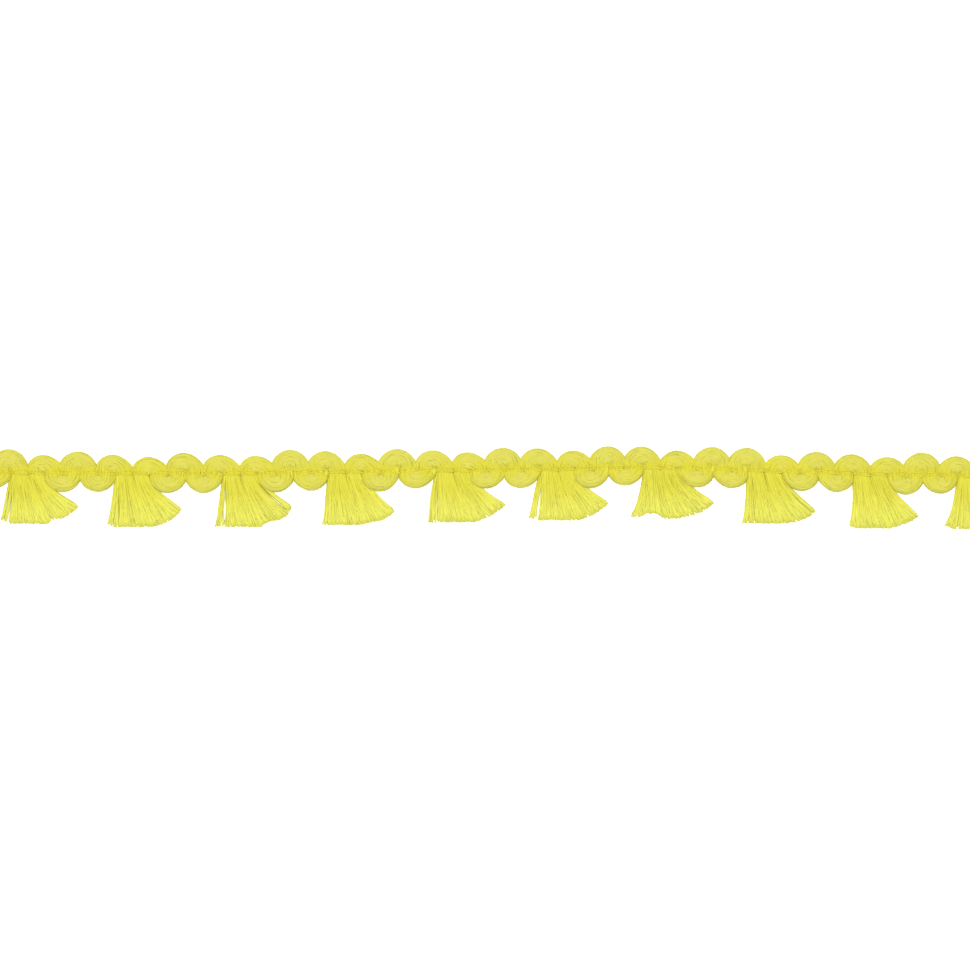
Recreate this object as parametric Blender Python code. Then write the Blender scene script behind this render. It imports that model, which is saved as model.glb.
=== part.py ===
"""Narrow tassel fringe trim, one short cut length lying flat with its face up.

One thick soft yarn runs to and fro across a single stitched row. Its turns make round
lobes above and below the row, and at every third turn below it was thrown long and cut,
which leaves a flat tassel that fans to the right. X runs along the trim, Y across it
with the tassels at -Y, and Z up from the surface that it lies on. Tables and sizes are
in millimetres, and the meshes are written in metres.
"""

import math
from typing import NamedTuple

import bmesh
import bpy
import numpy as np

MM = 0.001  # metres in a millimetre

# The braid's yarn
CORD_WIDTH = 2.64  # across one run of the yarn
LOBE_HEIGHT = 2.4  # thickness at the crown of a lobe
WAIST_HEIGHT = 2.0  # thickness at the stitched row, which draws the yarn in
TURN_RISE = 1.42  # how far a turn's centre line rises past the end of its straight run
TURN_STEPS = 8  # faces along one half-round turn
CUT_BELOW_ROW = 1.0  # where the two runs over a tassel stop, under the row
RUNS_PER_REPEAT = 6  # upright runs of yarn from one tassel to the next

# One tassel
JOINT_GAP = 0.3  # between the braid's runs and the tassel's root
ROOT_LENGTH = 1.2  # root, from its top edge to where the locks start
ROOT_LEFT = -2.75  # root's ends, from the middle of the tassel
ROOT_RIGHT = 2.3
ROOT_HEIGHT = 2.0
ROOT_EDGE_DROP = 0.35  # share of its height that the root loses at its ends
LOCK_COLUMNS = 15
LOCK_LAYERS = 2
LOCK_ROOT_FILL = 0.82  # share of its place on the root that a lock takes
LOCK_END_FILL = 0.64  # share of its place along the cut edge
LOCK_STAGGER = 0.25  # upper locks go this share of a column right, lower ones left
TIP_HEIGHT = 0.95  # thickness of the tassel at its cut edge
TIP_LAYER_GAP = 0.12
CUT_CORNER = 3.3  # where the straight cut edge starts to curve up to the tip
SHORTER = 0.85  # length of a short lock as a share of a full one


class Lobes(NamedTuple):
    """Heights of the lobes to the right of one tassel, as Y of their outer edges."""

    tops: tuple
    bottoms: tuple


class Tassel(NamedTuple):
    """One tassel: x is its middle, row the Y of the stitched row there.

    left and reach are the ends of its cut edge from x. drop and tip_drop are how far the
    cut edge and the right tip lie below the row. The first stray locks stand stray_gap
    further left than the rest. tuck is the power of the curve up to the tip: 1 is a quarter
    of an ellipse and 2 a straight line. short holds the columns whose locks are cut shorter.
    """

    x: float
    row: float
    left: float
    reach: float
    drop: float
    tip_drop: float
    stray: int
    stray_gap: float
    tuck: float
    short: tuple = ()


#            x      row   left  reach  drop  tip  stray gap tuck
TASSELS = (
    Tassel(-76.2, 2.50, -4.2, 8.3, 8.6, 5.7, 1, 0.45, 1.5),
    Tassel(-58.8, 2.35, -4.1, 8.1, 9.0, 6.1, 1, 0.2, 1.4),
    Tassel(-40.8, 2.35, -3.8, 8.5, 9.0, 5.7, 1, 0.4, 1.4),
    Tassel(-23.3, 2.65, -3.8, 8.1, 8.95, 6.6, 0, 0.0, 1.3),
    Tassel(-5.3, 2.85, -3.85, 8.6, 8.7, 5.8, 1, 0.4, 1.5),
    Tassel(12.2, 3.10, -4.45, 8.3, 8.6, 5.8, 1, 0.5, 1.5),
    Tassel(29.2, 3.35, -5.0, 8.9, 8.6, 5.9, 0, 0.0, 1.4, (3, 4)),
    Tassel(46.5, 2.85, -3.4, 8.5, 8.9, 6.8, 1, 0.2, 1.2),
    Tassel(64.2, 2.25, -3.4, 8.0, 9.1, 7.1, 0, 0.0, 1.5),
    Tassel(81.5, 2.00, -4.5, 8.3, 9.0, 6.0, 2, 0.4, 1.2),
)

# Where a tassel would stand past each end: the trim is cut off before it gets there
BEFORE_FIRST_X = -93.2
AFTER_LAST_X = 99.0
LAST_RUNS = 4  # upright runs kept after the last tassel

# A row for each stretch between two tassels, from the left end to the right
LOBES = (
    Lobes((5.5, 5.8, 6.3), (-0.6, -0.2)),
    Lobes((5.25, 5.9, 5.3), (-0.8, -0.75)),
    Lobes((4.9, 5.65, 5.3), (-0.95, -0.95)),
    Lobes((5.1, 6.2, 5.95), (-0.8, -0.5)),
    Lobes((5.45, 6.3, 6.1), (-0.7, -0.1)),
    Lobes((5.7, 6.5, 6.4), (-0.2, -0.1)),
    Lobes((6.0, 6.75, 6.7), (-0.15, 0.35)),
    Lobes((6.0, 6.65, 6.5), (0.0, -0.1)),
    Lobes((5.2, 5.8, 5.4), (-0.6, -0.75)),
    Lobes((4.9, 5.7, 5.1), (-1.2, -1.0)),
    Lobes((4.8, 5.3), (-1.2,)),
)

# Cross-section of the yarn: across as a share of half its width, up as one of its height
SECTION = np.array(
    [
        (0.45, 0.0),
        (1.0, 0.28),
        (1.0, 0.66),
        (0.5, 1.0),
        (-0.5, 1.0),
        (-1.0, 0.66),
        (-1.0, 0.28),
        (-0.45, 0.0),
    ]
)
LEFT_FACE = (1, 2)  # section points of the upright face on the left of the way it runs
RIGHT_FACE = (6, 5)


def clear_scene():
    for obj in list(bpy.data.objects):
        bpy.data.objects.remove(obj, do_unlink=True)


def linear(channel):
    """One sRGB channel from 0 to 255 as linear light."""
    share = channel / 255
    if share <= 0.04045:
        return share / 12.92
    return ((share + 0.055) / 1.055) ** 2.4


def yarn_material(name, red, green, blue):
    material = bpy.data.materials.new(name)
    material.use_nodes = True
    shader = material.node_tree.nodes["Principled BSDF"]
    colour = (linear(red), linear(green), linear(blue), 1.0)
    shader.inputs["Base Color"].default_value = colour
    shader.inputs["Roughness"].default_value = 0.92
    shader.inputs["Metallic"].default_value = 0.0
    material.diffuse_color = colour
    return material


def closed_object(name, points_mm, faces, material):
    """A mesh object of these points, with its faces turned outwards."""
    mesh = bpy.data.meshes.new(name)
    mesh.from_pydata((np.asarray(points_mm) * MM).tolist(), [], faces)
    shape = bmesh.new()
    shape.from_mesh(mesh)
    bmesh.ops.recalc_face_normals(shape, faces=shape.faces)
    shape.to_mesh(mesh)
    shape.free()
    mesh.shade_smooth()
    mesh.set_sharp_from_angle(angle=math.radians(50))
    mesh.materials.append(material)
    obj = bpy.data.objects.new(name, mesh)
    bpy.context.scene.collection.objects.link(obj)
    return obj


# The braid


class Run(NamedTuple):
    """One upright run of the yarn: the way it goes, and the rings at its two ends."""

    goes_up: bool
    low_ring: int
    high_ring: int


def turn(left_x, right_x, straight_y, rise):
    """Centres, directions and heights of the rings on a half-round turn, without its ends.

    The centre line is half an ellipse from (left_x, straight_y) to (right_x, straight_y).
    """
    angles = np.linspace(0.0, math.pi, TURN_STEPS + 1)[1:-1]
    half = (right_x - left_x) / 2
    centres = np.stack(
        [left_x + half - half * np.cos(angles), straight_y + rise * np.sin(angles)], axis=1
    )
    ways = np.stack([half * np.sin(angles), rise * np.cos(angles)], axis=1)
    heights = WAIST_HEIGHT + (LOBE_HEIGHT - WAIST_HEIGHT) * np.sin(angles)
    return centres, ways / np.linalg.norm(ways, axis=1, keepdims=True), heights


def section_ring(centre, way, height):
    """The yarn's cross-section, stood across the way that it runs."""
    across = np.array([-way[1], way[0]])
    offset = SECTION[:, :1] * across * CORD_WIDTH / 2
    return np.column_stack([centre + offset, SECTION[:, 1] * height])


class BraidMesh:
    """Gathers the points and faces of all the yarn in the braid."""

    def __init__(self):
        self.rings = []
        self.faces = []
        self.runs = []

    def add_ring(self, centre, way, height):
        self.rings.append(section_ring(np.asarray(centre), np.asarray(way), height))
        return len(self.rings) - 1

    def corner(self, ring, point):
        return ring * len(SECTION) + point % len(SECTION)

    def join_rings(self, first, second, is_run):
        """Faces from one ring to the next. A run's upright sides stay open for its neighbours."""
        for point in range(len(SECTION)):
            if is_run and point in (LEFT_FACE[0], RIGHT_FACE[1]):
                continue
            self.faces.append(
                (
                    self.corner(first, point),
                    self.corner(first, point + 1),
                    self.corner(second, point + 1),
                    self.corner(second, point),
                )
            )

    def cap(self, ring):
        self.faces.append(tuple(self.corner(ring, point) for point in range(len(SECTION))))

    def side(self, run, face):
        """The four corners of a run's upright side: low ring then high, each bottom to top."""
        rings = (run.low_ring, run.high_ring)
        return [[self.corner(ring, point) for point in face] for ring in rings]

    def bridge(self, one, two, face):
        """Joins two neighbouring runs by the stitching between their facing sides."""
        (a, b), (c, d) = self.side(one, face)
        (e, f), (g, h) = self.side(two, face)
        self.faces += [(a, c, g, e), (b, f, h, d), (a, e, f, b), (c, d, h, g)]

    def close_side(self, run, face):
        (a, b), (c, d) = self.side(run, face)
        self.faces.append((a, c, d, b))


def add_wave(braid, xs, tops, bottoms, cut_left, cut_right):
    """One stretch of yarn that goes up and down along the upright runs at xs.

    tops and bottoms are the Y of the lobes' outer edges. The first run starts at the Y
    cut_left and the last one ends at cut_right, both below the stitched row.
    """
    past_run = TURN_RISE + CORD_WIDTH / 2  # from a run's end to its lobe's outer edge
    last = len(xs) - 1
    previous = None
    for number, x in enumerate(xs):
        goes_up = number % 2 == 0
        high = tops[number // 2] - past_run
        if number == 0:
            low = cut_left
        elif number == last:
            low = cut_right
        else:
            low = bottoms[(number - 1) // 2] + past_run
        start, end = (low, high) if goes_up else (high, low)
        way = (0.0, 1.0) if goes_up else (0.0, -1.0)
        first = braid.add_ring((x, start), way, WAIST_HEIGHT)
        if previous is None:
            braid.cap(first)
        else:
            braid.join_rings(previous, first, False)
        previous = braid.add_ring((x, end), way, WAIST_HEIGHT)
        braid.join_rings(first, previous, True)
        rings = (first, previous) if goes_up else (previous, first)
        braid.runs.append(Run(goes_up, *rings))
        if number == last:
            braid.cap(previous)
            break
        rise = TURN_RISE if goes_up else -TURN_RISE
        for centre, step_way, height in zip(*turn(x, xs[number + 1], end, rise)):
            ring = braid.add_ring(centre, step_way, height)
            braid.join_rings(previous, ring, False)
            previous = ring


def run_places(left_x, right_x):
    """X of the upright runs between two tassels, evenly spaced with half a space at each end."""
    shares = (np.arange(RUNS_PER_REPEAT) + 0.5) / RUNS_PER_REPEAT
    return left_x + (right_x - left_x) * shares


def build_braid(material):
    """The whole lobed braid as one solid, its waves held together at the stitched row."""
    braid = BraidMesh()
    middles = [BEFORE_FIRST_X, *(tassel.x for tassel in TASSELS), AFTER_LAST_X]
    rows = [TASSELS[0].row, *(tassel.row for tassel in TASSELS), TASSELS[-1].row]
    for number, lobes in enumerate(LOBES):
        xs = run_places(middles[number], middles[number + 1])
        if number == len(LOBES) - 1:
            xs = xs[:LAST_RUNS]
        cuts = rows[number] - CUT_BELOW_ROW, rows[number + 1] - CUT_BELOW_ROW
        add_wave(braid, xs, lobes.tops, lobes.bottoms, *cuts)
    for one, two in zip(braid.runs, braid.runs[1:]):
        braid.bridge(one, two, RIGHT_FACE if one.goes_up else LEFT_FACE)
    braid.close_side(braid.runs[0], LEFT_FACE)
    braid.close_side(braid.runs[-1], LEFT_FACE)
    return closed_object("braid", np.concatenate(braid.rings), braid.faces, material)


# The tassels


def cut_edge(tassel, shares):
    """Points of the cut edge, at shares of its length from the left end to the right tip.

    It runs straight to CUT_CORNER, then up a curve to the tip.
    """
    straight = CUT_CORNER - tassel.left
    wide = tassel.reach - CUT_CORNER
    tall = tassel.drop - tassel.tip_drop
    curved = math.pi / 2 * math.sqrt((wide**2 + tall**2) / 2)
    run = shares * (straight + curved)
    angle = np.clip((run - straight) / curved, 0.0, 1.0) * math.pi / 2
    bulge = wide * np.sin(angle) ** tassel.tuck
    x = np.where(run < straight, tassel.left + run, CUT_CORNER + bulge)
    y = -tassel.tip_drop - tall * np.cos(angle) ** tassel.tuck
    return np.stack([tassel.x + x, tassel.row + y], axis=1)


def root_grid(tassel, y, shrink):
    """Points of the root's section at this Y: columns from the left, each from floor to top.

    The top is lower towards both ends, as one minus a fourth power of the distance out.
    """
    across = np.linspace(-1.0, 1.0, LOCK_COLUMNS + 1)
    middle = (ROOT_LEFT + ROOT_RIGHT) / 2
    x = tassel.x + middle + across * (ROOT_RIGHT - ROOT_LEFT) / 2 * shrink
    top = ROOT_HEIGHT * (1 - ROOT_EDGE_DROP * across**4) * shrink
    grid = np.empty((LOCK_COLUMNS + 1, LOCK_LAYERS + 1, 3))
    grid[..., 0] = x[:, None]
    grid[..., 1] = y
    grid[..., 2] = top[:, None] * np.linspace(0.0, 1.0, LOCK_LAYERS + 1)
    return grid


def rim_of(first):
    """Indices of a grid's outer points in order, for a grid whose points start at first."""
    tall = LOCK_LAYERS + 1
    floor = [column * tall for column in range(LOCK_COLUMNS + 1)]
    right = [LOCK_COLUMNS * tall + level for level in range(1, LOCK_LAYERS)]
    top = [column * tall + LOCK_LAYERS for column in range(LOCK_COLUMNS, -1, -1)]
    left = list(range(LOCK_LAYERS - 1, 0, -1))
    return [first + index for index in floor + right + top + left]


def build_tassel(name, tassel, material):
    """A cut tassel: a root that all the locks grow from, and two layers of flat locks."""
    points = []
    faces = []

    def add(new_points):
        first = len(points)
        points.extend(np.asarray(new_points).reshape(-1, 3).tolist())
        return first

    root_top = tassel.row - CUT_BELOW_ROW - JOINT_GAP
    top_grid = root_grid(tassel, root_top, 0.96)
    low_grid = root_grid(tassel, root_top - ROOT_LENGTH, 1.0)
    rims = [rim_of(0)]
    add(top_grid)
    rims.append(rim_of(add(low_grid)))
    for index, corner in enumerate(rims[0]):
        after = (index + 1) % len(rims[0])
        faces.append((corner, rims[0][after], rims[1][after], rims[1][index]))
    tall = LOCK_LAYERS + 1
    for column in range(LOCK_COLUMNS):
        strayed = tassel.stray_gap if column < tassel.stray else 0.0
        for layer in range(LOCK_LAYERS):
            cell = [
                column * tall + layer,
                (column + 1) * tall + layer,
                (column + 1) * tall + layer + 1,
                column * tall + layer + 1,
            ]
            faces.append(tuple(cell))
            corners = low_grid.reshape(-1, 3)[cell]
            middle = corners.mean(axis=0)
            root = add(middle + (corners - middle) * LOCK_ROOT_FILL)
            aside = LOCK_STAGGER if layer else -LOCK_STAGGER
            place = column + 0.5 + aside
            half = LOCK_END_FILL / 2
            shares = np.array([place - half, place + half]) / LOCK_COLUMNS
            ends = cut_edge(tassel, shares) - (strayed, 0.0)
            if column in tassel.short:
                ends = middle[:2] + (ends - middle[:2]) * SHORTER
            left, right = ends
            floor = layer * (TIP_HEIGHT + TIP_LAYER_GAP) / LOCK_LAYERS
            roof = floor + (TIP_HEIGHT - TIP_LAYER_GAP) / LOCK_LAYERS
            end = add([(*left, floor), (*right, floor), (*right, roof), (*left, roof)])
            base = [rims[1][0] + index for index in cell]
            for a, b in ((0, 1), (1, 2), (2, 3), (3, 0)):
                faces.append((base[a], base[b], root + b, root + a))
                faces.append((root + a, root + b, end + b, end + a))
            faces.append((end, end + 1, end + 2, end + 3))
    return closed_object(name, points, faces, material)


def main():
    clear_scene()
    braid_yarn = yarn_material("lemon_yarn_of_the_braid", 226, 221, 84)
    tassel_yarn = yarn_material("lemon_yarn_of_the_tassels", 232, 229, 104)
    build_braid(braid_yarn)
    for number, tassel in enumerate(TASSELS, start=1):
        build_tassel(f"tassel_{number:02d}", tassel, tassel_yarn)


main()
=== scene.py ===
"""Dresses the narrow tassel fringe trim: lemon yarn laid in lobes, cut tassels, stitched row.

The trim lies flat with its face up. X runs along it, Y across it with the tassels at -Y,
and Z up from the floor. Sizes are in millimetres until a mesh is written in metres.
"""

import logging
import math
from dataclasses import dataclass, field
from enum import Enum
from functools import cached_property

import bpy
import numpy as np
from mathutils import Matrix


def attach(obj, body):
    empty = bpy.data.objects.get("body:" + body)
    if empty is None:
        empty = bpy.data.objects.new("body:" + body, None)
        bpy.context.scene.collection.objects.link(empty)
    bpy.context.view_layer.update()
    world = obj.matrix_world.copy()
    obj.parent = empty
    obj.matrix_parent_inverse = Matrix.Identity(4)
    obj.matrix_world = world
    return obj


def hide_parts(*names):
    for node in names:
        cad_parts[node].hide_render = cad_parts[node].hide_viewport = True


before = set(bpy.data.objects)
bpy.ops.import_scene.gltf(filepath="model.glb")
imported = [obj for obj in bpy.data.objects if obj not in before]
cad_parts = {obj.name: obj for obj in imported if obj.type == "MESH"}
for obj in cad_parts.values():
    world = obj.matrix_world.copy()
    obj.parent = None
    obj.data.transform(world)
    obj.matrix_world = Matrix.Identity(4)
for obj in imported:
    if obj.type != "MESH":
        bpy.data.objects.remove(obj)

MM = 0.001  # metres in a millimetre
UPWARD = np.array([0.0, 0.0, 1.0])
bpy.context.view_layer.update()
LOG = logging.getLogger("trim")

Array = np.ndarray
Pair = tuple[float, float]
Rng = np.random.Generator  # a seeded source of the small differences between threads
Material = bpy.types.Material
Piece = bpy.types.Object


# Places on the trim, the same as in the solids, which have no bend, sweep, slits, shorts or lean


@dataclass(frozen=True)
class TasselPlace:
    """Where one tassel stands, in mm.

    x is its middle and row the Y of the stitched row there. left and reach are the ends of
    its cut edge from x, drop and tip_drop the depths of that edge and of its right tip below
    the row. stray is how many fifteenths of it stand stray_gap further left. tuck is the
    power of the curve up to the tip. bend draws the left edge in, by about 0.4 of it half
    way down, and sweep the right one, by all of it, under the lobe beside it.
    Each slit is the share of the cut edge where the threads part, and how wide. Each short
    place is its middle share, its half width as a share, and how much is missing.
    """

    x: float
    row: float
    left: float
    reach: float
    drop: float
    tip_drop: float
    stray: int
    stray_gap: float
    tuck: float
    bend: float
    sweep: float
    slits: tuple[Pair, ...] = ()
    shorts: tuple[tuple[float, float, float], ...] = ()


@dataclass(frozen=True)
class LobePlace:
    """Y of the outer edges of the lobes to the right of one tassel, in mm.

    lean is how far the lobes above the row, and those below it, are drawn to the right.
    """

    tops: tuple[float, ...]
    bottoms: tuple[float, ...]
    lean: Pair


# x, row, left, reach, drop, tip_drop, stray, stray_gap, tuck, bend, sweep, then slits, shorts
TASSELS = (
    TasselPlace(
        -76.2, 2.50, -4.2, 8.3, 8.6, 5.7, 1, 0.45, 1.5, -0.3, 0.65,
        ((0.035, 0.3),), ((0.02, 0.05, 0.45), (0.64, 0.07, 0.4)),
    ),
    TasselPlace(
        -58.8, 2.35, -4.1, 8.1, 9.0, 6.1, 1, 0.2, 1.4, 0.1, 0.55,
        ((0.12, 0.35), (0.93, 0.15)), ((0.02, 0.04, 0.4),),
    ),
    TasselPlace(
        -40.8, 2.35, -3.8, 8.5, 9.0, 5.7, 1, 0.4, 1.4, 0.1, 0.1,
        ((0.075, 0.6), (0.9, 0.45)), ((0.64, 0.07, 0.42), (0.83, 0.08, -0.2)),
    ),
    TasselPlace(
        -23.3, 2.65, -3.8, 8.1, 8.95, 6.6, 0, 0.0, 1.3, -0.2, 0.1,
        ((0.10, 0.25),), ((0.62, 0.1, 0.3),),
    ),
    TasselPlace(
        -5.3, 2.85, -3.85, 8.6, 8.7, 5.8, 1, 0.4, 1.5, -0.7, 0.45,
        ((0.08, 0.55),), ((0.02, 0.06, -0.15),),
    ),
    TasselPlace(
        12.2, 3.10, -4.45, 8.3, 8.6, 5.8, 1, 0.5, 1.5, -0.6, 0.5,
        ((0.07, 0.25),), ((0.02, 0.04, 0.25),),
    ),
    TasselPlace(
        29.2, 3.35, -5.0, 8.9, 8.6, 5.9, 0, 0.0, 1.4, 0.6, 0.4,
        (), ((0.24, 0.1, 0.85), (0.08, 0.1, 0.3), (0.62, 0.06, 0.2)),
    ),
    TasselPlace(
        46.5, 2.85, -3.4, 8.5, 8.9, 6.8, 1, 0.2, 1.2, 0.4, 0.3,
        ((0.15, 0.5), (0.9, 0.5)),
    ),
    TasselPlace(
        64.2, 2.25, -3.4, 8.0, 9.1, 7.1, 0, 0.0, 1.5, 0.5, 0.3,
        ((0.08, 0.3),), ((0.02, 0.04, 0.3),),
    ),
    TasselPlace(
        81.5, 2.00, -4.5, 8.3, 9.0, 6.0, 2, 0.4, 1.2, 0.9, 0.3,
        (), ((0.02, 0.05, 0.4),),
    ),
)
STRAY_COLUMNS = 15  # what stray counts: this many make up a whole tassel

# Where a tassel would stand past each end: the trim is cut off before it gets there
BEFORE_FIRST_X = -93.2
AFTER_LAST_X = 99.0
RUNS_PER_REPEAT = 6  # upright runs of yarn from one tassel to the next
LAST_RUNS = 4  # upright runs kept after the last tassel

# A row for each stretch between two tassels, from the left end to the right
LOBES = (
    LobePlace((5.5, 5.8, 6.3), (-0.6, -0.2), (-0.4, -0.2)),
    LobePlace((5.25, 5.9, 5.3), (-0.8, -0.75), (-0.43, 0.0)),
    LobePlace((4.9, 5.65, 5.3), (-0.95, -0.95), (-0.41, -0.1)),
    LobePlace((5.1, 6.2, 5.95), (-0.8, -0.5), (-0.42, 0.1)),
    LobePlace((5.45, 6.3, 6.1), (-0.7, -0.1), (-0.38, -0.35)),
    LobePlace((5.7, 6.5, 6.4), (-0.2, -0.1), (-0.5, -0.42)),
    LobePlace((6.0, 6.75, 6.7), (-0.15, 0.35), (-0.3, -0.25)),
    LobePlace((6.0, 6.65, 6.5), (0.0, -0.1), (-0.03, 0.45)),
    LobePlace((5.2, 5.8, 5.4), (-0.6, -0.75), (-0.15, 0.4)),
    LobePlace((4.9, 5.7, 5.1), (-1.2, -1.0), (-0.08, 0.15)),
    LobePlace((4.8, 5.3), (-1.2,), (-0.1, 0.0)),
)

# Where pale, raised ends of yarn show between two runs at the stitched row: partly pale yarn,
# partly a painted highlight
CAUGHT_ENDS = np.array(
    [(-32.2, 2.3), (-26.5, 2.3), (-14.6, 2.8), (-8.5, 2.5), (20.3, 3.0), (37.9, 2.9), (43.3, 2.8)]
)

# Share of its span, and of its size, that each wave of a thread's drift has
WAVES = ((1.0, 0.6), (0.53, 0.35), (0.29, 0.2))
PLAIN_TONES = (0.35, 0.65)  # shades between which the plain threads of a yarn differ


def row_height(x: Array) -> Array:
    """Y of the stitched row at x, in straight lines from tassel to tassel."""
    return np.interp(x, [place.x for place in TASSELS], [place.row for place in TASSELS])


def ease(share: Array) -> Array:
    """Smooth step: 3 times the share squared less 2 times its cube, held from 0 to 1."""
    held = np.clip(share, 0.0, 1.0)
    return held * held * (3.0 - 2.0 * held)


def unit(vectors: Array) -> Array:
    """Vectors along the last axis made 1 long; the tiny part is for one that has no length."""
    return vectors / (np.linalg.norm(vectors, axis=-1, keepdims=True) + 1e-12)


def sway(rng: Rng, lengths: Array, size: float, span: float) -> Array:
    """Smooth random drift of every thread: three sine waves of its length, in random phase.

    Args:
        rng: Source of the phases.
        lengths: Distance along each thread, threads by rings, in mm.
        size: Typical drift.
        span: Length of the longest wave, in mm.

    Returns:
        The drift, threads by rings.
    """
    total = np.zeros(lengths.shape)
    for part, share in WAVES:
        phase = rng.uniform(0.0, math.tau, (len(lengths), 1))
        total += share * np.sin(math.tau * lengths / (span * part) + phase)
    return total * size


# Meshes of threads


def add_object(name: str, data: bpy.types.ID) -> Piece:
    """Adds an object to the scene, at the origin.

    Args:
        name: Its name.
        data: Its mesh, light or camera.

    Returns:
        The object.
    """
    made = bpy.data.objects.new(name, data)
    bpy.context.scene.collection.objects.link(made)
    return made


@dataclass
class Threads:
    """Threads of one kind.

    lines are their centre lines in mm, threads by rings by 3, and radii the half widths of
    their rings. tone is each thread's own shade from 0 to 1. turn is how far its rings have
    turned to the finish's other shade, from 0 to 1. flat is a tube's height as a share of its
    width. One number or row of rings may stand for all threads.
    """

    lines: Array
    radii: Array | float
    tone: Array
    turn: Array | float = 0.0
    flat: Array | float = 1.0


@dataclass
class YarnMesh:
    """Gathers threads into one mesh, as round tubes with closed ends."""

    parts: list[tuple[Array, ...]] = field(default_factory=list)
    count: int = 0  # of points so far

    def add(self, threads: Threads, sides: int, finish: int = 0) -> None:
        """Adds a tube for every thread.

        A point is the centre line plus the radius times (cosine of its angle times the
        sideways direction plus sine times flat times the lifted one). Sideways is level and
        square to the thread, and lifted is square to both. The map's first number is the
        distance along the thread in centimetres, its second the share of the way round.

        Args:
            threads: What to add.
            sides: Corners round each tube.
            finish: Which of the object's materials it takes.
        """
        lines = threads.lines
        number, rings = lines.shape[:2]
        radii = np.broadcast_to(threads.radii, (number, rings))
        turn = np.broadcast_to(threads.turn, (number, rings))
        ways = unit(np.gradient(lines, axis=1))
        aside = unit(np.cross(ways, UPWARD))
        lifted = np.cross(aside, ways) * threads.flat
        angles = np.arange(sides) * math.tau / sides
        spokes = (
            np.cos(angles)[:, None] * aside[:, :, None, :]
            + np.sin(angles)[:, None] * lifted[:, :, None, :]
        )
        points = lines[:, :, None, :] + radii[:, :, None, None] * spokes

        places = np.arange(number * rings * sides).reshape(number, rings, sides) + self.count
        after = np.roll(places, -1, axis=2)
        quads = np.stack(
            [places[:, :-1], places[:, 1:], after[:, 1:], after[:, :-1]], axis=3
        ).reshape(-1, 4)
        caps = np.concatenate([places[:, 0], places[:, -1, ::-1]])

        steps = np.linalg.norm(np.diff(lines, axis=1), axis=2)
        along = np.concatenate([np.zeros((number, 1)), np.cumsum(steps, axis=1)], axis=1) / 10
        start = np.broadcast_to(along[:, :-1, None], (number, rings - 1, sides))
        end = np.broadcast_to(along[:, 1:, None], (number, rings - 1, sides))
        low = np.broadcast_to(np.arange(sides) / sides, start.shape)
        high = low + 1.0 / sides
        around = [(start, low), (end, low), (end, high), (start, high)]
        quad_uvs = np.stack([np.stack(pair, axis=3) for pair in around], axis=3)
        cap_uvs = np.zeros((2 * number, sides, 2))
        cap_uvs[number:, :, 0] = along[:, -1:]

        part = (
            points.reshape(-1, 3),
            np.repeat(threads.tone, rings * sides),
            np.repeat(turn.ravel(), sides),
            np.concatenate([quads.ravel(), caps.ravel()]),
            np.concatenate([quad_uvs.reshape(-1, 2), cap_uvs.reshape(-1, 2)]),
            np.repeat([4, sides], [len(quads), len(caps)]),
            np.full(len(quads) + len(caps), finish),
        )
        self.parts.append(part)
        self.count += number * rings * sides

    def make(self, name: str, materials: list[Material]) -> Piece:
        """Writes the mesh, with its map, its two thread attributes and its materials.

        Args:
            name: The object's name.
            materials: Its materials, in the order of add's finish numbers.

        Returns:
            The object, linked to the scene.
        """
        joined = map(np.concatenate, zip(*self.parts))
        points, tone, turn, corners, uvs, sizes, finishes = joined
        starts = np.cumsum(sizes) - sizes
        mesh = bpy.data.meshes.new(name)
        mesh.vertices.add(len(points))
        mesh.vertices.foreach_set("co", (points * MM).ravel())
        mesh.loops.add(len(corners))
        mesh.loops.foreach_set("vertex_index", corners.astype(np.int32))
        mesh.polygons.add(len(sizes))
        mesh.polygons.foreach_set("loop_start", starts.astype(np.int32))
        mesh.polygons.foreach_set("material_index", finishes.astype(np.int32))
        mesh.polygons.foreach_set("use_smooth", np.ones(len(sizes), dtype=bool))
        mesh.uv_layers.new(name="yarn").data.foreach_set("uv", uvs.ravel())
        for title, values in (("tone", tone), ("turn", turn)):
            layer = mesh.attributes.new(title, "FLOAT", "POINT")
            layer.data.foreach_set("value", values)
        mesh.update(calc_edges=True)
        mesh.validate()
        for material in materials:
            mesh.materials.append(material)
        return add_object(name, mesh)


def finish_piece(piece: Piece, node: str) -> Piece:
    """Rides a piece on the trim and reports it.

    Args:
        piece: What to finish.
        node: The solid that it stands for.

    Returns:
        The same piece.
    """
    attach(piece, "root")
    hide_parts(node)
    LOG.info("%s: %d faces", piece.name, len(piece.data.polygons))
    return piece


# Finishes

# Numbers of the colour sockets on a Mix node
FACTOR, FIRST_COLOUR, SECOND_COLOUR, MIXED_COLOUR = 0, 6, 7, 2


def linear(code: str) -> tuple[float, float, float, float]:
    """Linear light of an sRGB colour, by the sRGB standard's curve.

    Args:
        code: A hex colour such as #E6E264.

    Returns:
        Red, green, blue, and 1 for alpha.
    """
    shares = np.array([int(code[place : place + 2], 16) for place in (1, 3, 5)]) / 255
    light = np.where(shares <= 0.04045, shares / 12.92, ((shares + 0.055) / 1.055) ** 2.4)
    return (*light.tolist(), 1.0)


def add_node(
    tree: bpy.types.NodeTree, kind: str, inputs: dict[str | int, object], **settings: object
) -> bpy.types.Node:
    """Adds one node.

    Args:
        tree: The material's node tree.
        kind: The node's type name, without ShaderNode.
        inputs: For each input's name or number, a value, or the output that feeds it.
        **settings: Properties of the node.

    Returns:
        The node.
    """
    node = tree.nodes.new(f"ShaderNode{kind}")
    for name, value in settings.items():
        setattr(node, name, value)
    for name, value in inputs.items():
        if isinstance(value, bpy.types.NodeSocket):
            tree.links.new(value, node.inputs[name])
        else:
            node.inputs[name].default_value = value
    return node


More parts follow.
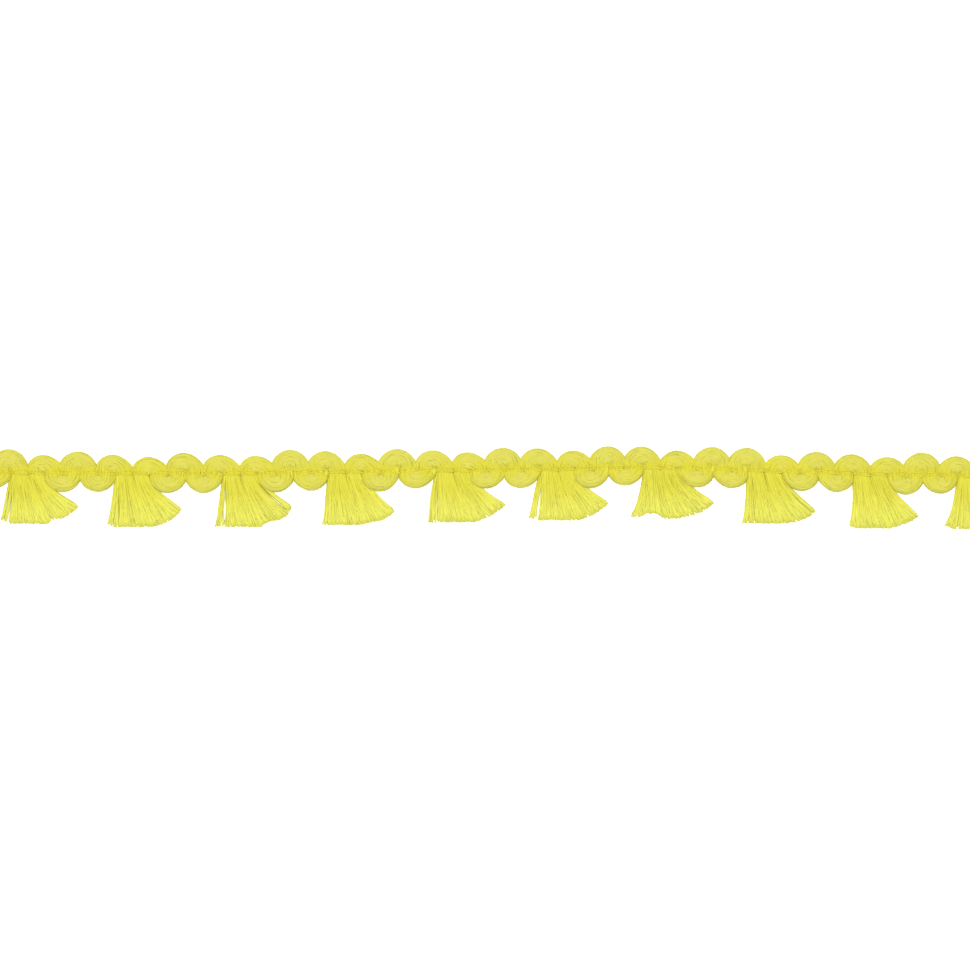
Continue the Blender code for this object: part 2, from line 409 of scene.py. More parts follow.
class Yarn(Enum):
    """Which yarn of the trim a finish is for."""

    BRAID = "lemon acrylic braid yarn"
    HEART = "lemon acrylic yarn inside the bundle"
    TASSEL = "lemon acrylic tassel yarn"
    STITCH = "lemon polyester stitching thread"


@dataclass(frozen=True)
class YarnFinish:
    """One yarn's finish.

    dark and light are the shades between which single threads differ. turned is the shade that
    the yarn turns to. Near the stitched row it is a clearer, brighter yellow: partly the deeper
    colour of yarn that the stitches press together, partly painted light that lifts the shade of
    the valley there. At a cut end, where its fibres open up, it is paler: painted light for the
    light that comes through the thin, open fibres. Where the yarn never turns it is the light
    shade. fibre_mm is how far apart its single fibres show.
    """

    yarn: Yarn
    dark: str
    light: str
    turned: str
    roughness: float
    sheen: float
    fibre_mm: float
    specular: float = 0.12
    sheen_roughness: float = 0.5
    patches_per_m: float = 330.0  # dye and nap vary in patches about 3 mm across
    fibre_relief: float = 0.00005  # metres

    def build(self) -> Material:
        """Makes the material: shade by thread, fibre streaks along it, soft matt surface.

        A thread's shade is its own tone, plus 0.45 times how far the streaks are from a
        half, plus 0.5 times how far the patches are from it.

        Returns:
            The material.
        """
        material = bpy.data.materials.new(self.yarn.value)
        material.use_nodes = True
        tree = material.node_tree
        shader = tree.nodes["Principled BSDF"]

        tone = add_node(tree, "Attribute", {}, attribute_name="tone")
        turn = add_node(tree, "Attribute", {}, attribute_name="turn")
        # The map is 1 per cm along a thread and 1 per turn round it. This makes streaks ten
        # to a turn, as wide as the fibres lie apart, and about six times as long
        yarn_map = add_node(tree, "UVMap", {}, uv_map="yarn")
        stretch = (0.8 / self.fibre_mm, 5.0, 1.0)
        fibres = add_node(tree, "Mapping", {"Vector": yarn_map.outputs["UV"], "Scale": stretch})
        streaks = add_node(
            tree,
            "TexNoise",
            {"Vector": fibres.outputs["Vector"], "Scale": 2.0, "Detail": 3.0, "Roughness": 0.6},
            noise_dimensions="2D",
        )
        place = add_node(tree, "TexCoord", {})
        spots = {"Vector": place.outputs["Object"], "Scale": self.patches_per_m, "Detail": 2.0}
        patches = add_node(tree, "TexNoise", spots)
        shade = tone.outputs["Fac"]
        for noise, weight, offset in ((streaks, 0.45, -0.22), (patches, 0.5, -0.25)):
            parts = {0: noise.outputs["Fac"], 1: weight, 2: offset}
            shift = add_node(tree, "Math", parts, operation="MULTIPLY_ADD")
            both = add_node(tree, "Math", {0: shade, 1: shift.outputs["Value"]})
            shade = both.outputs["Value"]
        colour = linear(self.dark)
        for factor, second in ((shade, self.light), (turn.outputs["Fac"], self.turned)):
            parts = {FACTOR: factor, FIRST_COLOUR: colour, SECOND_COLOUR: linear(second)}
            colour = add_node(tree, "Mix", parts, data_type="RGBA").outputs[MIXED_COLOUR]
        relief = {"Strength": 0.5, "Distance": self.fibre_relief}
        bump = add_node(tree, "Bump", {"Height": streaks.outputs["Fac"], **relief})
        tree.links.new(colour, shader.inputs["Base Color"])
        tree.links.new(bump.outputs["Normal"], shader.inputs["Normal"])
        for name, value in (
            ("Roughness", self.roughness),
            ("Specular IOR Level", self.specular),
            ("Sheen Weight", self.sheen),
            ("Sheen Roughness", self.sheen_roughness),
            ("Sheen Tint", linear(self.light)),
        ):
            shader.inputs[name].default_value = value
        return material


# Bulky acrylic yarn, spun and dyed lemon: soft and matt, with a faint bloom from loose nap.
# Near the stitched row it turns a clearer, brighter yellow: partly the deeper colour of pressed
# yarn, partly painted light that lifts the shade in the valley at the row
BRAID_FINISH = YarnFinish(Yarn.BRAID, "#D1CD4C", "#D9D466", "#DBD440", 0.88, 0.08, 0.08)
# The same yarn inside the bundle, which shows only between the threads of the coat
HEART_FINISH = YarnFinish(Yarn.HEART, "#D4D04C", "#D8D458", "#D8D458", 0.9, 0.0, 0.08)
# The same yarn cut and brushed out, its threads lying open. Its shades are brighter than the
# braid's and turn paler towards its cut ends: painted light for the light that comes through
# its thin, open threads and the little shade among them
TASSEL_FINISH = YarnFinish(Yarn.TASSEL, "#D8D33F", "#E0DB52", "#EEEF78", 0.85, 0.05, 0.07)
# Polyester sewing thread, tightly twisted: a stronger yellow and a little shinier
STITCH_FINISH = YarnFinish(Yarn.STITCH, "#DCD440", "#E2DA4C", "#E2DA4C", 0.6, 0.0, 0.05)


# The braid


@dataclass(frozen=True)
class Bundle:
    """Shape of the soft yarn bundle across the way that it runs, in mm.

    Its half width and height go from those at the stitched row, which presses it flat, to
    those at a lobe's crown: the width over spread, the height over valley. foot and swell
    hold a size above the row and one below it.
    """

    row_half: float = 1.5
    crown_half: float = 1.36
    row_height: float = 1.8
    crown_height: float = 2.4
    spread: float = 2.4
    valley: float = 1.7
    foot: Pair = (0.3, 0.1)  # how far the lowest yarn spreads out
    foot_reach: float = 2.0  # how far from the row it does
    foot_top: float = 0.45  # share of the height under which yarn counts as lowest
    swell: Pair = (0.27, 0.2)  # how far upright yarn swells to its neighbours
    lean_reach: float = 1.5  # how far from the row a lobe leans by its whole lean
    fill: float = 0.5  # share of the valley inside a lobe that loose yarn fills
    fill_reach: float = 1.2  # how far from the row it fills it so
    fill_rise: Pair = (0.5, 0.3)  # shares of the height from which, and over which, it does
    dive: Pair = (0.25, 0.7)  # how far under the row a limb thins, and over what
    dive_loss: Pair = (0.3, 0.5)  # shares of half width and height that it loses
    side_power: float = 0.9
    top_power: float = 0.85
    mean_size: Pair = (1.4, 2.2)  # half width and height, to space the outline

    def at(self, from_row: Array) -> tuple[Array, Array]:
        """Size of the bundle along its way.

        Args:
            from_row: Distances from the stitched row, in mm.

        Returns:
            Half widths and heights there, in mm.
        """
        half = self.row_half + (self.crown_half - self.row_half) * ease(from_row / self.spread)
        rise = (self.crown_height - self.row_height) * ease(from_row / self.valley)
        return half, self.row_height + rise

    def outline(self, share: Array) -> tuple[Array, Array]:
        """Points on the bundle's outline, evenly spaced along it.

        The outline is a superellipse: across is the cosine of the angle to side_power with
        its sign, and up is a half plus half the sine to top_power with its sign.

        Args:
            share: Share of the way round, from 0 to 1, any shape; whole turns don't matter.

        Returns:
            Across, from -1 to 1, and up, from 0 to 1.
        """
        angle = np.linspace(0.0, math.tau, 721)  # every half degree
        across = np.sign(np.cos(angle)) * np.abs(np.cos(angle)) ** self.side_power
        up = 0.5 + 0.5 * np.sign(np.sin(angle)) * np.abs(np.sin(angle)) ** self.top_power
        wide, tall = self.mean_size
        steps = np.hypot(np.diff(across) * wide, np.diff(up) * tall)
        way = np.concatenate([[0.0], np.cumsum(steps)]) / steps.sum()
        turn = np.mod(share, 1.0)
        return np.interp(turn, way, across), np.interp(turn, way, up)


@dataclass
class BraidStretch:
    """The yarn between two tassels: it goes up and down across the row in round lobes.

    Sizes are in mm. A sway is the size and the longest wave of a random drift.
    """

    number: int
    left_x: float
    right_x: float
    runs: int
    lobes: LobePlace
    left_cut: bool
    right_cut: bool
    seed: int = 100  # plus the stretch's number
    bundle: Bundle = Bundle()
    cord_half: float = 1.32  # half the width of the solid's yarn
    turn_rise: float = 1.42
    cut_below_row: float = 1.0  # where a plain cut end stops
    limb_below_row: float = 2.1  # where a limb is lost among its tassel's threads
    limb_length: float = 3.0  # yarn that counts as a limb, from that end
    run_points: int = 12
    turn_points: int = 33
    ring_step: float = 0.34
    threads: int = 36
    thread_radius: float = 0.155
    twist: float = 0.008  # turns of the coat round the heart in a mm
    twist_sway: Pair = (0.06, 16.0)
    thread_sway: Pair = (0.008, 6.0)
    proud_sway: Pair = (0.018, 3.5)
    width_sway: Pair = (0.15, 3.0)
    press_and_lift_reach: float = 1.1  # how far from the row the yarn takes its turned shade: pressed yarn plus painted light
    heart_inset: Pair = (0.18, 0.15)  # how far it lies inside, across and up
    wisps: int = 110
    wisp_radius: float = 0.05
    wisp_rings: int = 13
    wisp_slant: float = 0.012  # typical turn round the coat in a mm
    wisp_proud: float = 0.03
    wisp_sway: Pair = (0.02, 4.0)
    fibres: int = 200
    fibre_radius: float = 0.016
    fibre_rings: int = 6
    fibre_length: float = 0.9  # at most, either way along the yarn
    fibre_drift: float = 0.45  # at most, either way aside
    fibre_stand: Pair = (0.05, 0.42)
    face_threads: int = 70
    face_rings: int = 6
    face_inset: float = 0.248  # of the outermost threads' middles
    face_ragged: Pair = (-0.12, 0.06)

    @property
    def spacing(self) -> float:
        """Distance between two upright runs."""
        return (self.right_x - self.left_x) / RUNS_PER_REPEAT

    def low_end(self, is_left: bool) -> float:
        """Where the first or the last run ends below the row.

        Args:
            is_left: Whether it is the first one.

        Returns:
            The Y of its end, in mm.
        """
        x = self.left_x if is_left else self.right_x
        cut = self.left_cut if is_left else self.right_cut
        return float(row_height(x)) - (self.cut_below_row if cut else self.limb_below_row)

    @cached_property
    def line(self) -> Array:
        """Centre line of the yarn in plan, in even steps.

        An upright run is straight. A turn is half an ellipse: x goes by the cosine of the
        angle times half the spacing, and y by its sine times turn_rise.

        Returns:
            Points by 2, in mm.
        """
        angle = np.linspace(0.0, math.pi, self.turn_points)[:, None]
        past_run = self.turn_rise + self.cord_half
        half = self.spacing / 2
        xs = self.left_x + (np.arange(self.runs) + 0.5) * self.spacing
        parts = []
        for number, x in enumerate(xs):
            goes_up = number % 2 == 0
            high = self.lobes.tops[number // 2] - past_run
            if number in (0, self.runs - 1):
                low = self.low_end(number == 0)
            else:
                low = self.lobes.bottoms[(number - 1) // 2] + past_run
            ends = (low, high) if goes_up else (high, low)
            run = np.linspace((x, ends[0]), (x, ends[1]), self.run_points)
            parts.append(run[:-1])
            if number < self.runs - 1:
                rise = self.turn_rise if goes_up else -self.turn_rise
                across = x + half - half * np.cos(angle)
                parts.append(np.hstack([across, ends[1] + rise * np.sin(angle)])[:-1])
            else:
                parts.append(run[-1:])
        line = np.concatenate(parts)
        way = np.concatenate([[0.0], np.cumsum(np.linalg.norm(np.diff(line, axis=0), axis=1))])
        even = np.linspace(0.0, way[-1], round(way[-1] / self.ring_step))
        return np.stack([np.interp(even, way, line[:, axis]) for axis in (0, 1)], axis=1)

    @cached_property
    def along(self) -> Array:
        """Distance of each ring from the first one."""
        return np.arange(len(self.line)) * self.ring_step

    @cached_property
    def from_row(self) -> Array:
        """How far each ring lies above the stitched row."""
        return self.line[:, 1] - row_height(self.line[:, 0])

    @cached_property
    def in_limb(self) -> Array:
        """Finds the rings below the row, on a run that goes on into a tassel.

        Returns:
            True for each of them.
        """
        first = (self.along < self.limb_length) & (not self.left_cut)
        last = (self.along > self.along[-1] - self.limb_length) & (not self.right_cut)
        return (first | last) & (self.from_row < 0)

    def lay(self, share: Array, inset: float, proud: Array | float) -> Array:
        """Threads laid on the bundle.

        A point is the centre line, plus the outline's across times the half width square to
        it in plan, at the outline's up times the height. Half width and height are less by
        the inset, and each thread is pushed out by proud of its half width. Beside the row
        the lowest yarn spreads out by foot, less by the fourth power of its distance. Both
        sides swell by swell, times the fourth power of how far the yarn runs upright. A lobe
        leans aside by its lean, from nothing at the row to all of it at lean_reach. On its
        inner side, yarn in the upper half is lifted by fill of what it lacks to the top. A
        limb has none of these, but thins by dive_loss where it dives into its tassel.

        Args:
            share: Place of each ring round the outline, threads by rings.
            inset: How far the threads' centres lie inside the outline, in mm.
            proud: Extra share of the half width, threads by rings.

        Returns:
            Threads by rings by 3, in mm.
        """
        shape, from_row = self.bundle, self.from_row
        way = unit(np.gradient(self.line, axis=0))
        normal = np.stack([-way[:, 1], way[:, 0]], axis=1)
        far = np.abs(from_row)
        free = np.where(self.in_limb, 0.0, 1.0)
        is_below = (from_row <= 0).astype(int)
        foot, swell, lean = (
            np.array(pair)[is_below] * free for pair in (shape.foot, shape.swell, self.lobes.lean)
        )

        half, height = shape.at(far)
        thin = ease((-from_row - shape.dive[0]) / shape.dive[1])
        half = np.where(self.in_limb, half * (1 - shape.dive_loss[0] * thin), half)
        pressed = shape.row_height * (1 - shape.dive_loss[1] * thin)
        height = np.where(self.in_limb, pressed, height)
        across, up = shape.outline(share)
        inner = np.clip(-across * np.sign(from_row), 0.0, 1.0) ** 2
        inner = inner * ease(far / shape.fill_reach) * free
        inner = inner * ease((up - shape.fill_rise[0]) / shape.fill_rise[1])
        up = up + (1 - up) * shape.fill * inner
        low = 1 - ease(up / shape.foot_top)
        foot = foot * np.exp(-((from_row / shape.foot_reach) ** 4))
        out = across * (half - inset) * (1 + proud) + np.sign(across) * low * foot
        out = out + across * (swell * normal[:, 0] ** 4)
        plan = self.line + out[..., None] * normal
        plan[..., 0] += lean * ease(far / shape.lean_reach)
        level = inset + up * (height - 2 * inset)
        return np.concatenate([plan, level[..., None]], axis=2)

    def build(self, materials: list[Material]) -> Piece:
        """Makes the stretch: its heart, a coat of threads that slowly turn round it, and nap.

        Args:
            materials: The yarn's finish, and that of the yarn inside it.

        Returns:
            The finished piece.
        """
        rng = np.random.default_rng(self.seed + self.number)
        lengths = np.tile(self.along, (self.threads, 1))
        start = (np.arange(self.threads)[:, None] + 0.5) / self.threads
        twist = sway(rng, lengths[:1], *self.twist_sway) + self.twist * lengths[:1]
        share = start + twist + sway(rng, lengths, *self.thread_sway)
        coat = self.lay(share, self.thread_radius, sway(rng, lengths, *self.proud_sway))
        radii = self.thread_radius * (1 + sway(rng, lengths, *self.width_sway))
        # How far each ring turns to the clearer, brighter shade near the row: partly pressed
        # yarn, partly painted light lifting the valley's shade
        pressed = np.exp(-((self.from_row / self.press_and_lift_reach) ** 2))
        tone = rng.uniform(*PLAIN_TONES, self.threads)
        mesh = YarnMesh()
        mesh.add(Threads(coat, radii, tone, pressed), sides=5)
        mesh.add(self.heart(), sides=14, finish=1)
        mesh.add(self.wisp_threads(rng, pressed, twist), sides=3)
        mesh.add(self.nap(rng, coat), sides=3)
        if self.left_cut or self.right_cut:
            mesh.add(self.cut_face(rng), sides=5)
        name = f"braid_stretch_{self.number:02d}"
        return finish_piece(mesh.make(name, materials), "braid")

    def heart(self) -> Threads:
        """The inside of the bundle, as one thick thread.

        Its middle is at half the bundle's height. Its half width is the crown's, and its half
        height is half the bundle's, each less its heart_inset.

        Returns:
            The one thread.
        """
        top_share = 0.25  # of the way round the outline
        middle = self.lay(np.full((1, len(self.line)), top_share), 0.0, 0.0)
        middle = middle[:, 2 if self.left_cut else 0 : -2 if self.right_cut else None]
        middle[..., 2] /= 2
        radius = self.bundle.crown_half - self.heart_inset[0]
        flat = (middle[..., 2:] - self.heart_inset[1]) / radius
        return Threads(middle, radius, np.full(1, 0.4), flat=flat)

    def wisp_threads(self, rng: Rng, pressed: Array, twist: Array) -> Threads:
        """Fine wisps, 4 to 5 mm long, that lie on the coat at a slight slant to its threads.

        Their radius goes by the sine of half a turn along them, to the power 0.4.

        Args:
            rng: Source of the places and slants.
            pressed: How far each ring turns to the clearer, brighter shade near the row, partly
                pressed yarn and partly painted light, from 0 to 1.
            twist: The coat's own turn at each ring.

        Returns:
            The wisps.
        """
        rings, long = len(pressed), self.wisp_rings
        first = rng.integers(0, rings - long, (self.wisps, 1))
        window = first + np.arange(long)
        lengths = np.tile(self.along, (self.wisps, 1))
        slant = rng.normal(0.0, self.wisp_slant, (self.wisps, 1))
        slant = slant * (lengths - first * self.ring_step)
        share = rng.uniform(0.0, 1.0, (self.wisps, 1)) + twist + slant
        proud = self.wisp_proud + sway(rng, lengths, *self.wisp_sway)
        lines = self.lay(share, self.wisp_radius, proud)
        lines = np.take_along_axis(lines, window[..., None], axis=1)
        taper = np.sin(math.pi * np.linspace(0.04, 0.96, long)) ** 0.4
        tone = rng.uniform(0.4, 1.0, self.wisps)
        return Threads(lines, self.wisp_radius * taper, tone, pressed[window])

    def nap(self, rng: Rng, coat: Array) -> Threads:
        """Loose fibres that stand off the yarn.

        Each starts in a random thread of the coat, at 0.7 of its radius. It goes along the
        yarn by its length times the share, outwards by its stand times the share to the power
        1.5, and aside by its drift times the share squared.

        Args:
            rng: Source of the places and lengths.
            coat: The coat's threads.

        Returns:
            The fibres.
        """
        thread = rng.integers(0, coat.shape[0], self.fibres)
        ring = rng.integers(1, coat.shape[1] - 1, self.fibres)
        base = coat[thread, ring]
        out = unit(base - coat[:, ring].mean(axis=0))
        way = unit(coat[thread, ring + 1] - coat[thread, ring - 1])
        side = np.cross(way, out)
        share = np.linspace(0.0, 1.0, self.fibre_rings)[None, :, None]
        size = (self.fibres, 1, 1)
        length = rng.uniform(-self.fibre_length, self.fibre_length, size)
        stand = rng.uniform(*self.fibre_stand, size)
        drift = rng.uniform(-self.fibre_drift, self.fibre_drift, size)
        lines = (
            base[:, None]
            + out[:, None] * (self.thread_radius * 0.7 + stand * share**1.5)
            + way[:, None] * length * share
            + side[:, None] * drift * share**2
        )
        lines[..., 2] = np.maximum(lines[..., 2], self.fibre_radius)
        return Threads(lines, self.fibre_radius, rng.uniform(0.6, 1.0, self.fibres))

    def cut_face(self, rng: Rng) -> Threads:
        """Threads inside the bundle at its plain cut end, so that it is full there.

        Thread k lies out from the middle by the square root of its share of the count, and
        goes round it by k golden angles, which fills an ellipse evenly.

        Args:
            rng: Source of the ragged ends.

        Returns:
            The threads.
        """
        rings = slice(0, self.face_rings) if self.left_cut else slice(-self.face_rings, None)
        line = self.line[rings]
        half, height = self.bundle.at(np.abs(self.from_row[rings]))
        half = half + self.bundle.swell[1]
        order = np.arange(self.face_threads)[:, None]
        out = np.sqrt((order + 0.5) / self.face_threads)
        angle = order * math.pi * (3.0 - math.sqrt(5.0))
        x = line[:, 0] + out * np.cos(angle) * (half - self.face_inset)
        z = height / 2 + out * np.sin(angle) * (height / 2 - self.face_inset)
        lines = np.stack([x, np.broadcast_to(line[:, 1], x.shape), z], axis=2)
        lines[:, 0 if self.left_cut else -1, 1] += rng.uniform(*self.face_ragged, len(x))
        return Threads(lines, self.thread_radius, rng.uniform(0.2, 0.8, len(x)))


@dataclass
class Braid:
    """All the stretches of lobed yarn, from the left end of the trim to the right."""

    def stretches(self) -> list[BraidStretch]:
        """The stretches, each from one tassel to the next, and a cut one at each end.

        Returns:
            One for each row of LOBES.
        """
        middles = [BEFORE_FIRST_X, *(place.x for place in TASSELS), AFTER_LAST_X]
        last = len(LOBES) - 1
        return [
            BraidStretch(
                number + 1,
                middles[number],
                middles[number + 1],
                LAST_RUNS if number == last else RUNS_PER_REPEAT,
                lobes,
                left_cut=number == 0,
                right_cut=number == last,
            )
            for number, lobes in enumerate(LOBES)
        ]

    def build(self, materials: list[Material]) -> list[Piece]:
        """Makes every stretch."""
        return [stretch.build(materials) for stretch in self.stretches()]


# The stitched row


@dataclass
class StitchedRow:
    """A row of chain stitches along the trim, one loop over each upright run, in mm."""

    seed: int = 7
    rings: int = 25
    start: float = -0.1  # where a loop starts, from the left end of its run's place
    overlap: float = 0.5  # how far a loop's head reaches over the next one's start
    tail: float = 0.3  # how far before the trim's right end the last stitch stops
    width: float = 0.85
    width_spread: float = 0.15  # as a share
    aside_spread: float = 0.08
    top: float = 1.8  # height of the thread's middle where it crosses a run
    dip: float = 0.12  # how much lower it lies between two runs
    head_lift: float = 0.12  # how much higher a loop's head lies, on the next one
    dive: float = 0.7  # how deep a loop's start goes down into the yarn
    dive_share: float = 0.12  # share of a loop's reach in which it comes up
    plies: int = 2
    ply_radius: float = 0.07
    ply_pitch: float = 1.2  # length of thread in which a ply goes once round
    ply_fill: float = 1.15  # a ply's thickness as a share of its room

    def places(self) -> tuple[Array, Array]:
        """Finds the place of every stitch.

        Returns:
            Left ends and lengths, each stitches by 1, in mm.
        """
        lefts, lengths = [], []
        for stretch in Braid().stretches():
            lefts += [stretch.left_x + number * stretch.spacing for number in range(stretch.runs)]
            lengths += [stretch.spacing] * stretch.runs
        return np.array(lefts)[:, None], np.array(lengths)[:, None]

    def lines(self, rng: Rng) -> Array:
        """Centre lines of the loops.

        With the angle going once round, x is the left end plus the reach times half of (one
        less its cosine), and y is the row plus half the width times its sine times the sine
        of half of it, which draws a drop with its point on the left. z is the top less the
        dip between two runs, plus head_lift times how far along it is, and dives where the
        thread goes down through the yarn.

        Args:
            rng: Source of small differences.

        Returns:
            Loops by rings by 3, in mm.
        """
        lefts, lengths = self.places()
        angle = np.linspace(0.0, math.tau, self.rings)[None, :]
        share = (1 - np.cos(angle)) / 2
        reach = lengths + self.overlap
        reach[-1] = lengths[-1] - self.tail
        x = lefts + self.start + reach * share
        wide = self.width * (1 + rng.uniform(-self.width_spread, self.width_spread, lefts.shape))
        y = row_height(x) + wide / 2 * np.sin(angle) * np.sin(angle / 2)
        y = y + rng.uniform(-self.aside_spread, self.aside_spread, lefts.shape)
        over_run = np.abs(np.sin(math.pi * np.clip((x - lefts) / lengths, 0.0, 1.0)))
        z = self.top - self.dip * (1 - over_run) + self.head_lift * share
        z = z - self.dive * (1 - ease(share / self.dive_share))
        return np.stack([x, y, z], axis=2)

    def twisted(self, lines: Array) -> list[Array]:
        """The plies of each loop.

        A ply goes round the loop's centre line: the line plus a ply's radius times the
        cosine of its angle, square to the line in plan, and times its sine upwards. The
        angle grows by one turn for each ply_pitch of thread.

        Args:
            lines: The loops' centre lines.

        Returns:
            For each ply, an array of the same shape.
        """
        ways = np.gradient(lines, axis=1)
        square = unit(np.cross(UPWARD, ways))
        turns = np.cumsum(np.linalg.norm(ways, axis=2), axis=1) / self.ply_pitch
        plies = []
        for ply in range(self.plies):
            angle = (math.tau * (turns + ply / self.plies))[..., None]
            around = np.cos(angle) * square + np.sin(angle) * UPWARD
            plies.append(lines + self.ply_radius * around)
        return plies

    def build(self, material: Material) -> Piece:
        """Makes the row as one piece.

        Args:
            material: The stitching thread's finish.

        Returns:
            The finished piece.
        """
        rng = np.random.default_rng(self.seed)
        mesh = YarnMesh()
        for lines in self.twisted(self.lines(rng)):
            tone = rng.uniform(0.2, 0.8, len(lines))
            mesh.add(Threads(lines, self.ply_radius * self.ply_fill, tone), sides=4)
        return finish_piece(mesh.make("stitched_row", [material]), "braid")


@dataclass
class CaughtEnds:
    """Short pale ends of yarn that the stitches caught between two upright runs, in mm. Their
    light tone is partly a painted highlight on these raised ends.
    """

    seed: int = 11
    ends: int = 9  # at each place
    rings: int = 9
    radius: float = 0.09
    half_length: float = 0.75
    length_spread: Pair = (0.7, 1.1)  # as shares
    spread: Pair = (0.11, 0.1)  # typical distance from the place, in x and y
    slant: float = 0.12  # typical distance that an end leans aside
    top: float = 1.95
    top_spread: Pair = (-0.12, 0.05)
    arch: float = 0.45

    def build(self, material: Material) -> Piece:
        """Makes them as one piece.

        Each end goes up the trim by its half length times the parameter, which runs from -1
        to 1. It stands at the top less the arch times the square of the parameter.

        Args:
            material: The ends' finish.

        Returns:
            The finished piece.
        """
        rng = np.random.default_rng(self.seed)
        places = np.repeat(CAUGHT_ENDS, self.ends, axis=0)
        one_each = (len(places), 1)
        way = np.linspace(-1.0, 1.0, self.rings)[None, :]
        size = rng.uniform(*self.length_spread, one_each)
        x = places[:, :1] + rng.normal(0.0, self.spread[0], one_each)
        x = x + rng.normal(0.0, self.slant, one_each) * way
        y = places[:, 1:] + rng.normal(0.0, self.spread[1], one_each)
        y = y + self.half_length * size * way
        z = self.top + rng.uniform(*self.top_spread, one_each) - self.arch * way**2
        # Light tones: pale yarn, and partly a painted highlight on these raised ends
        tone = rng.uniform(0.6, 0.9, len(places))
        mesh = YarnMesh()
        mesh.add(Threads(np.stack([x, y, z], axis=2), self.radius, tone), sides=5)
        return finish_piece(mesh.make("caught_ends", [material]), "braid")


# The tassels


@dataclass(frozen=True)
class Strands:
    """One kind of strand in a tassel.

    Each starts by starts_in of its way at the latest and ends at ends_at. rise is the lowest
    and the highest share of the tassel's thickness that they take up, and margin the share
    of the cut edge left free at both ends. tones are the shades between which they differ,
    and paling how far they have turned to the paler shade in the limb, and how much further
    they do to their ends. This paling is painted light: light through the thin, open ends,
    and in the locks a lift of the shade that falls on them under the threads. flat is a
    strand's height as a share of its width.
    """

    count: int
    sides: int
    starts_in: float
    rise: Pair
    tones: Pair
    paling: Pair
    margin: float = 0.0
    ends_at: float = 1.0
    flat: float = 1.0


# The locks lie under the threads: their light tones, and their paling already in the limb, are
# painted light that lifts the shade falling on them between the threads
MATTED_LOCKS = Strands(40, 6, 0.02, (0.45, 0.72), (0.7, 1.0), (0.2, 0.5), 0.025, 0.965, 0.5)
CUT_THREADS = Strands(150, 5, 0.02, (0.15, 1.0), PLAIN_TONES, (0.0, 0.5))
LOOSE_FIBRES = Strands(260, 3, 0.7, (0.3, 1.0), (0.3, 1.0), (0.0, 0.8))


